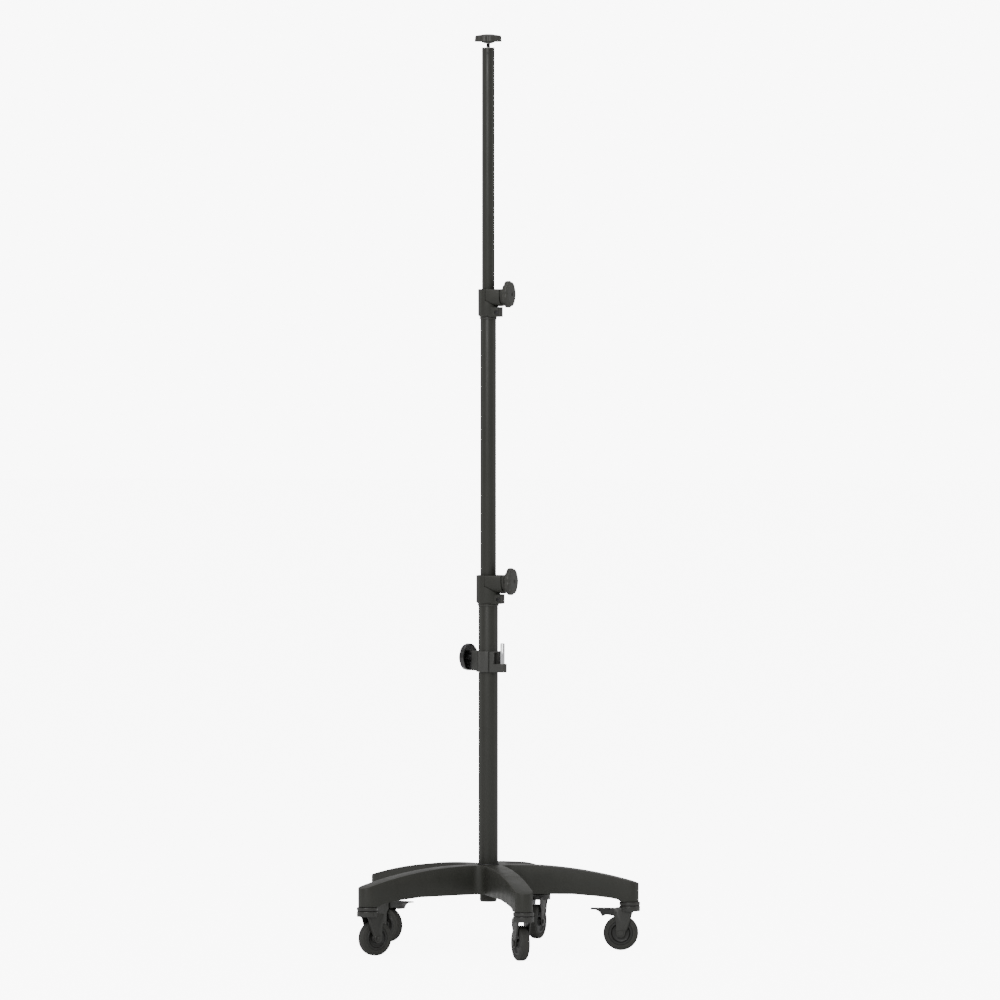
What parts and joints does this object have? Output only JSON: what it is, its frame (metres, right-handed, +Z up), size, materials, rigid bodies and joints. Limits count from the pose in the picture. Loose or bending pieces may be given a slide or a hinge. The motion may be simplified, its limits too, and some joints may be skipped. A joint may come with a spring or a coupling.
{
  "type": "rolling telescopic stand",
  "caption": "Tall rolling stand with a cast star base on swivel casters, a telescoping tube mast with clamp collars, an accessory clamp with a stud and a star grip on top.",
  "frame": {"origin": "on the floor under the middle of the outline; the mast stands 29 mm towards -X of it", "axes": "+Z up along the mast; +X along the arm of the first braked caster; +Y to its left"},
  "size_m": [0.5946, 0.6227, 1.9618],
  "materials": {
    "coat": "fine charcoal powder coat over cast and drawn metal",
    "caster_steel": "dark grey painted pressed steel",
    "plain_steel": "turned and zinc plated",
    "black_steel": "black oxide screw",
    "chrome": "polished stud",
    "nylon": "natural moulded nylon",
    "tread": "grey thermoplastic rubber tread",
    "core": "moulded dark polymer",
    "grip": "fine grained charcoal polymer",
    "gloss_grip": "glossy black polymer",
    "liner": "black rubber pad"
  },
  "bodies": {
    "base": {"base_casting": "coat", "hub_plug": "coat", "mast_foot": "plain_steel", "mast_bolt": "plain_steel", "lower_tube": "coat", "lower_collar_body": "coat", "lower_collar_ear_bolt": "black_steel", "caster_1_stem": "caster_steel", "caster_2_stem": "caster_steel", "caster_3_stem": "caster_steel", "caster_4_stem": "caster_steel", "caster_5_stem": "caster_steel"},
    "caster_1_swivel": {"caster_1_fork": "caster_steel", "caster_1_axle": "caster_steel"},
    "caster_1_roller": {"caster_1_tyre": "tread", "caster_1_wheel": "core"},
    "caster_1_brake": {"caster_1_pedal": "core"},
    "caster_2_swivel": {"caster_2_fork": "caster_steel", "caster_2_axle": "caster_steel"},
    "caster_2_roller": {"caster_2_tyre": "tread", "caster_2_wheel": "core"},
    "caster_3_swivel": {"caster_3_fork": "caster_steel", "caster_3_axle": "caster_steel"},
    "caster_3_roller": {"caster_3_tyre": "tread", "caster_3_wheel": "core"},
    "caster_3_brake": {"caster_3_pedal": "core"},
    "caster_4_swivel": {"caster_4_fork": "caster_steel", "caster_4_axle": "caster_steel"},
    "caster_4_roller": {"caster_4_tyre": "tread", "caster_4_wheel": "core"},
    "caster_5_swivel": {"caster_5_fork": "caster_steel", "caster_5_axle": "caster_steel"},
    "caster_5_roller": {"caster_5_tyre": "tread", "caster_5_wheel": "core"},
    "middle_carriage": {"middle_bush": "nylon"},
    "middle_stage": {"middle_tube": "coat", "upper_collar_body": "coat", "upper_collar_ear_bolt": "black_steel"},
    "upper_carriage": {"upper_bush": "nylon"},
    "upper_stage": {"upper_tube": "coat", "mast_plug": "plain_steel"},
    "lower_collar_follower": {"lower_collar_pad": "nylon"},
    "lower_collar_turner": {"lower_collar_screw": "plain_steel", "lower_collar_knob": "grip"},
    "upper_collar_follower": {"upper_collar_pad": "nylon"},
    "upper_collar_turner": {"upper_collar_screw": "plain_steel", "upper_collar_knob": "grip"},
    "accessory": {"accessory_body": "coat", "accessory_stud": "chrome", "accessory_liner": "liner", "accessory_jaw_plate": "coat"},
    "accessory_follower": {"accessory_pad": "nylon"},
    "accessory_turner": {"accessory_screw": "plain_steel", "accessory_knob": "gloss_grip"},
    "grip_carrier": {"grip_washer": "plain_steel"},
    "grip": {"star_grip": "grip", "grip_cap": "grip", "grip_stem": "black_steel"}
  },
  "joints": [
    {"name": "caster_1_swivel_joint", "type": "hinge", "parent": "base", "child": "caster_1_swivel", "pos_m": [0.27497, 0, 0.096], "axis": [0, 0, 1], "continuous": true},
    {"name": "caster_1_roll_joint", "type": "hinge", "parent": "caster_1_swivel", "child": "caster_1_roller", "pos_m": [0.25597, 0, 0.0375], "axis": [0, 1, 0], "continuous": true},
    {"name": "caster_1_brake_joint", "type": "hinge", "parent": "caster_1_swivel", "child": "caster_1_brake", "pos_m": [0.24597, 0, 0.0815], "axis": [0, -1, 0], "range_deg": [0, 12]},
    {"name": "caster_2_swivel_joint", "type": "hinge", "parent": "base", "child": "caster_2_swivel", "pos_m": [0.06491, 0.28912, 0.096], "axis": [0, 0, 1], "continuous": true},
    {"name": "caster_2_roll_joint", "type": "hinge", "parent": "caster_2_swivel", "child": "caster_2_roller", "pos_m": [0.05904, 0.27105, 0.0375], "axis": [-0.9511, 0.309, 0], "continuous": true},
    {"name": "caster_3_swivel_joint", "type": "hinge", "parent": "base", "child": "caster_3_swivel", "pos_m": [-0.27497, 0.17869, 0.096], "axis": [0, 0, 1], "continuous": true},
    {"name": "caster_3_roll_joint", "type": "hinge", "parent": "caster_3_swivel", "child": "caster_3_roller", "pos_m": [-0.2596, 0.16752, 0.0375], "axis": [-0.5878, -0.809, 0], "continuous": true},
    {"name": "caster_3_brake_joint", "type": "hinge", "parent": "caster_3_swivel", "child": "caster_3_brake", "pos_m": [-0.25151, 0.16164, 0.0815], "axis": [0.5878, 0.809, 0], "range_deg": [0, 12]},
    {"name": "caster_4_swivel_joint", "type": "hinge", "parent": "base", "child": "caster_4_swivel", "pos_m": [-0.27497, -0.17869, 0.096], "axis": [0, 0, 1], "continuous": true},
    {"name": "caster_4_roll_joint", "type": "hinge", "parent": "caster_4_swivel", "child": "caster_4_roller", "pos_m": [-0.2596, -0.16752, 0.0375], "axis": [0.5878, -0.809, 0], "continuous": true},
    {"name": "caster_5_swivel_joint", "type": "hinge", "parent": "base", "child": "caster_5_swivel", "pos_m": [0.06491, -0.28912, 0.096], "axis": [0, 0, 1], "continuous": true},
    {"name": "caster_5_roll_joint", "type": "hinge", "parent": "caster_5_swivel", "child": "caster_5_roller", "pos_m": [0.05749, -0.27163, 0.0375], "axis": [0.9205, 0.3907, 0], "continuous": true},
    {"name": "middle_slide", "type": "slide", "parent": "base", "child": "middle_carriage", "axis": [0, 0, 1], "range_m": [-0.5, 0.03]},
    {"name": "middle_turn", "type": "hinge", "parent": "middle_carriage", "child": "middle_stage", "pos_m": [-0.02903, 0, 1], "axis": [0, 0, 1], "continuous": true},
    {"name": "upper_slide", "type": "slide", "parent": "middle_stage", "child": "upper_carriage", "axis": [0, 0, 1], "range_m": [-0.5, 0.03]},
    {"name": "upper_turn", "type": "hinge", "parent": "upper_carriage", "child": "upper_stage", "pos_m": [-0.02903, 0, 1.6], "axis": [0, 0, 1], "continuous": true},
    {"name": "lower_collar_press", "type": "slide", "parent": "base", "child": "lower_collar_follower", "axis": [0.9511, -0.309, 0], "range_m": [0, 0.00375]},
    {"name": "lower_collar_knob_turn", "type": "hinge", "parent": "lower_collar_follower", "child": "lower_collar_turner", "pos_m": [0.01377, -0.01391, 0.791], "axis": [0.9511, -0.309, 0], "range_deg": [0, 1080]},
    {"name": "upper_collar_press", "type": "slide", "parent": "middle_stage", "child": "upper_collar_follower", "axis": [0.9511, -0.309, 0], "range_m": [0, 0.00375]},
    {"name": "upper_collar_knob_turn", "type": "hinge", "parent": "upper_collar_follower", "child": "upper_collar_turner", "pos_m": [0.00711, -0.01174, 1.406], "axis": [0.9511, -0.309, 0], "range_deg": [0, 1080]},
    {"name": "accessory_slide", "type": "slide", "parent": "base", "child": "accessory", "axis": [0, 0, 1], "range_m": [-0.38, 0.08]},
    {"name": "accessory_press", "type": "slide", "parent": "accessory", "child": "accessory_follower", "axis": [-0.866, 0.5, 0], "range_m": [0, 0.00375]},
    {"name": "accessory_knob_turn", "type": "hinge", "parent": "accessory_follower", "child": "accessory_turner", "pos_m": [-0.068, 0.0225, 0.627], "axis": [-0.866, 0.5, 0], "range_deg": [0, 1080]},
    {"name": "grip_travel", "type": "slide", "parent": "upper_stage", "child": "grip_carrier", "axis": [0, 0, 1], "range_m": [-0.00625, 0.0025]},
    {"name": "grip_turn", "type": "hinge", "parent": "grip_carrier", "child": "grip", "pos_m": [-0.02903, 0, 1.95], "axis": [0, 0, 1], "range_deg": [-1800, 720]}
  ],
  "couplings": [
    {"joint": "lower_collar_press", "follows": "lower_collar_knob_turn", "m_per_rad": 0.00019894},
    {"joint": "upper_collar_press", "follows": "upper_collar_knob_turn", "m_per_rad": 0.00019894},
    {"joint": "accessory_press", "follows": "accessory_knob_turn", "m_per_rad": 0.00019894},
    {"joint": "grip_travel", "follows": "grip_turn", "m_per_rad": 0.00019894}
  ]
}
